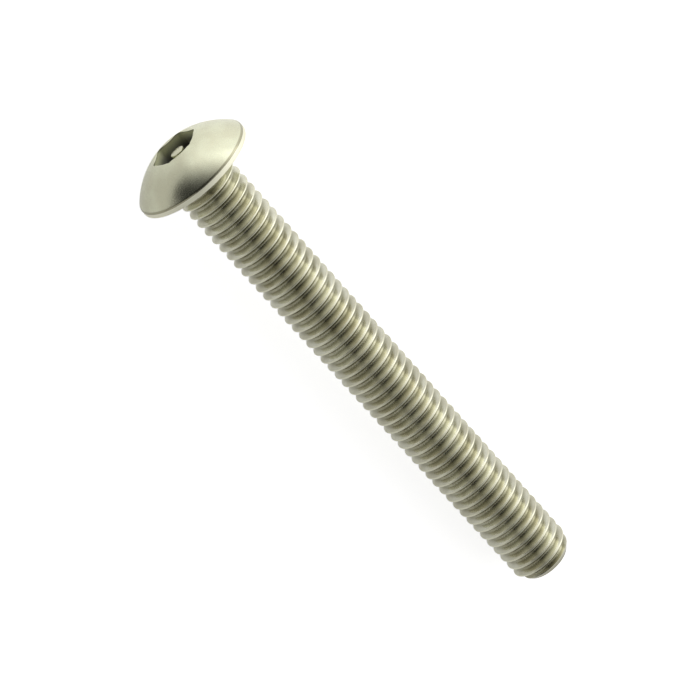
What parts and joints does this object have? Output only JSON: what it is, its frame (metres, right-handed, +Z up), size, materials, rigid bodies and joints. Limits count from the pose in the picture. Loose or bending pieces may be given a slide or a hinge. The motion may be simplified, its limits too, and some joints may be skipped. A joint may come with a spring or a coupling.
{
  "type": "button head screw",
  "caption": "Fully threaded machine screw with a low domed button head and a hexagon socket that has a centre pin, lying on its side.",
  "frame": {"origin": "on the surface that the screw lies on, below the middle of its length", "axes": "+X runs along the screw towards its point, which leans down by 3.1 degrees; +Z is up"},
  "size_m": [0.0266, 0.0056, 0.0056],
  "materials": {
    "stainless_steel": "cold headed and thread rolled austenitic stainless steel, tumbled and passivated to a soft satin"
  },
  "bodies": {
    "root": {"screw": "stainless_steel"}
  },
  "joints": []
}
